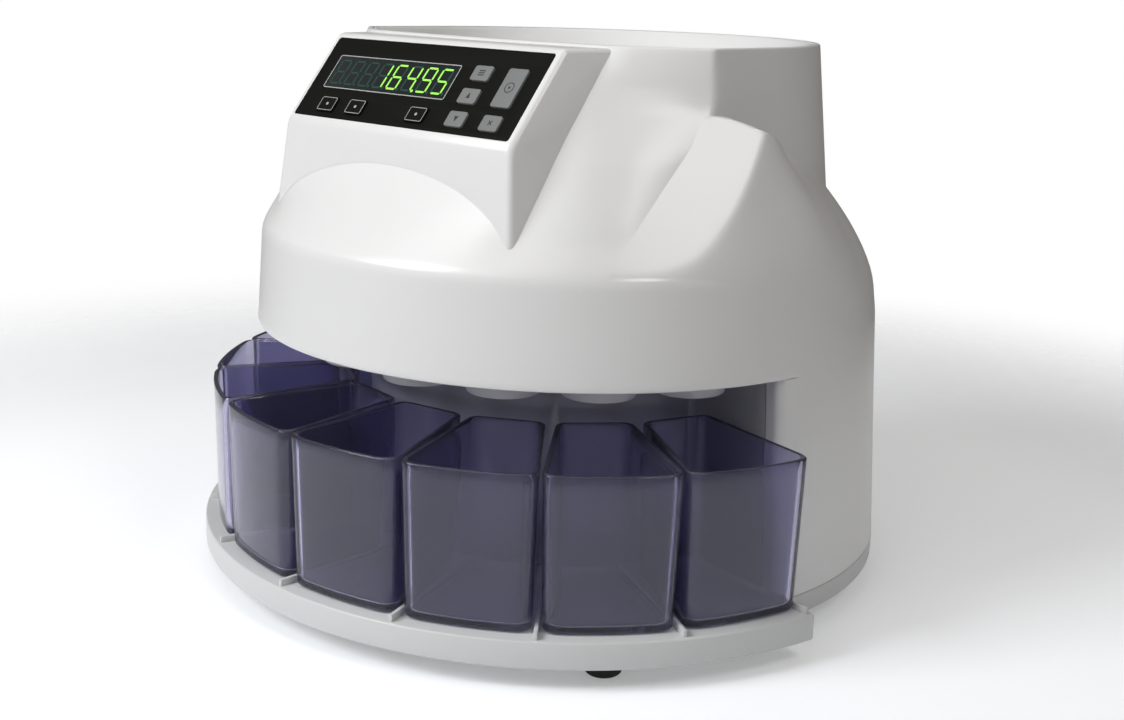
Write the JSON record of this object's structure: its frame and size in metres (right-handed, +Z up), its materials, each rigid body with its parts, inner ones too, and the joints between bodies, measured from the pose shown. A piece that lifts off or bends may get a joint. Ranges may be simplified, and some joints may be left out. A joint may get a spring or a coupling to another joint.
{
  "type": "coin counter",
  "caption": "Round coin counting and sorting machine with a hopper on top, a tilted key panel with a display, and a fan of pull-out coin cups.",
  "frame": {"origin": "centre of the bounding box's underside, on the surface that the feet stand on", "axes": "+Z up, -Y towards the front with the cups and the display, +X to the right seen from the front"},
  "size_m": [0.3502, 0.334, 0.2543],
  "materials": {
    "white_shell": "glossy moulded plastic",
    "grey_shell": "semi-gloss moulded plastic",
    "rubber_feet": "matt",
    "panel": "satin film",
    "window": "clear smoked",
    "keys": "fine matt",
    "smoky_cups": "translucent smoked",
    "steel": "brushed",
    "brass": "turned",
    "black_plastic": "matt",
    "gear_plastic": "smooth",
    "board": "solder mask"
  },
  "bodies": {
    "machine": {"base_tray": "grey_shell", "chassis": "steel", "chute_1": "white_shell", "chute_2": "white_shell", "chute_3": "white_shell", "chute_4": "white_shell", "chute_5": "white_shell", "chute_6": "white_shell", "chute_7": "white_shell", "chute_8": "white_shell", "coin_sensor_board": "board", "control_pod": "white_shell", "cup_bay_wall": "grey_shell", "data_port": "steel", "display_board": "board", "display_window": "window", "drive_motor": "steel", "foot_front_left": "rubber_feet", "foot_front_right": "rubber_feet", "foot_rear_left": "rubber_feet", "foot_rear_right": "rubber_feet", "gearbox": "steel", "hopper_bowl": "white_shell", "housing": "white_shell", "led_display": "black_plastic", "lower_bearing": "brass", "main_board": "board", "panel_overlay": "panel", "plate_screw_left": "steel", "plate_screw_right": "steel", "power_inlet": "black_plastic", "power_supply": "steel", "power_switch_body": "black_plastic", "rear_panel": "grey_shell", "sorting_plate": "steel", "spout_plate": "grey_shell", "upper_bearing": "brass"},
    "rotor": {"main_shaft": "steel", "drive_gear": "gear_plastic", "sorting_rotor": "black_plastic", "hopper_disc": "grey_shell", "hub_cap": "black_plastic"},
    "pinion": {"motor_pinion": "brass"},
    "rocker": {"power_rocker": "black_plastic"},
    "cup_1": {"coin_cup_1": "smoky_cups"},
    "cup_2": {"coin_cup_2": "smoky_cups"},
    "cup_3": {"coin_cup_3": "smoky_cups"},
    "cup_4": {"coin_cup_4": "smoky_cups"},
    "cup_5": {"coin_cup_5": "smoky_cups"},
    "cup_6": {"coin_cup_6": "smoky_cups"},
    "cup_7": {"coin_cup_7": "smoky_cups"},
    "cup_8": {"coin_cup_8": "smoky_cups"},
    "preset_key_left": {"preset_key_left": "keys"},
    "preset_key_middle": {"preset_key_middle": "keys"},
    "preset_key_right": {"preset_key_right": "keys"},
    "mode_key": {"mode_key": "keys"},
    "up_key": {"up_key": "keys"},
    "down_key": {"down_key": "keys"},
    "start_key": {"start_key": "keys"},
    "clear_key": {"clear_key": "keys"}
  },
  "joints": [
    {"name": "rotor_spin", "type": "hinge", "parent": "machine", "child": "rotor", "pos_m": [0, 0.01045, 0.13], "axis": [0, 0, 1], "continuous": true},
    {"name": "pinion_spin", "type": "hinge", "parent": "machine", "child": "pinion", "pos_m": [0, 0.08545, 0.131], "axis": [0, 0, 1], "continuous": true},
    {"name": "rocker_turn", "type": "hinge", "parent": "machine", "child": "rocker", "pos_m": [-0.00336, 0.15504, 0.05], "axis": [1, 0, 0], "range_deg": [0, 14]},
    {"name": "cup_1_pull", "type": "slide", "parent": "machine", "child": "cup_1", "axis": [-0.9397, -0.342, 0], "range_m": [0, 0.07]},
    {"name": "cup_2_pull", "type": "slide", "parent": "machine", "child": "cup_2", "axis": [-0.766, -0.6428, 0], "range_m": [0, 0.07]},
    {"name": "cup_3_pull", "type": "slide", "parent": "machine", "child": "cup_3", "axis": [-0.5, -0.866, 0], "range_m": [0, 0.07]},
    {"name": "cup_4_pull", "type": "slide", "parent": "machine", "child": "cup_4", "axis": [-0.1736, -0.9848, 0], "range_m": [0, 0.07]},
    {"name": "cup_5_pull", "type": "slide", "parent": "machine", "child": "cup_5", "axis": [0.1736, -0.9848, 0], "range_m": [0, 0.07]},
    {"name": "cup_6_pull", "type": "slide", "parent": "machine", "child": "cup_6", "axis": [0.5, -0.866, 0], "range_m": [0, 0.07]},
    {"name": "cup_7_pull", "type": "slide", "parent": "machine", "child": "cup_7", "axis": [0.766, -0.6428, 0], "range_m": [0, 0.07]},
    {"name": "cup_8_pull", "type": "slide", "parent": "machine", "child": "cup_8", "axis": [0.9397, -0.342, 0], "range_m": [0, 0.07]},
    {"name": "preset_key_left_press", "type": "slide", "parent": "machine", "child": "preset_key_left", "axis": [0, 0.7848, -0.6198], "range_m": [0, 0.0006], "stiffness_N_per_m": 600},
    {"name": "preset_key_middle_press", "type": "slide", "parent": "machine", "child": "preset_key_middle", "axis": [0, 0.7848, -0.6198], "range_m": [0, 0.0006], "stiffness_N_per_m": 600},
    {"name": "preset_key_right_press", "type": "slide", "parent": "machine", "child": "preset_key_right", "axis": [0, 0.7848, -0.6198], "range_m": [0, 0.0006], "stiffness_N_per_m": 600},
    {"name": "mode_key_press", "type": "slide", "parent": "machine", "child": "mode_key", "axis": [0, 0.7848, -0.6198], "range_m": [0, 0.0006], "stiffness_N_per_m": 600},
    {"name": "up_key_press", "type": "slide", "parent": "machine", "child": "up_key", "axis": [0, 0.7848, -0.6198], "range_m": [0, 0.0006], "stiffness_N_per_m": 600},
    {"name": "down_key_press", "type": "slide", "parent": "machine", "child": "down_key", "axis": [0, 0.7848, -0.6198], "range_m": [0, 0.0006], "stiffness_N_per_m": 600},
    {"name": "start_key_press", "type": "slide", "parent": "machine", "child": "start_key", "axis": [0, 0.7848, -0.6198], "range_m": [0, 0.0006], "stiffness_N_per_m": 600},
    {"name": "clear_key_press", "type": "slide", "parent": "machine", "child": "clear_key", "axis": [0, 0.7848, -0.6198], "range_m": [0, 0.0006], "stiffness_N_per_m": 600}
  ],
  "couplings": [
    {"joint": "pinion_spin", "follows": "rotor_spin", "ratio": -4}
  ]
}
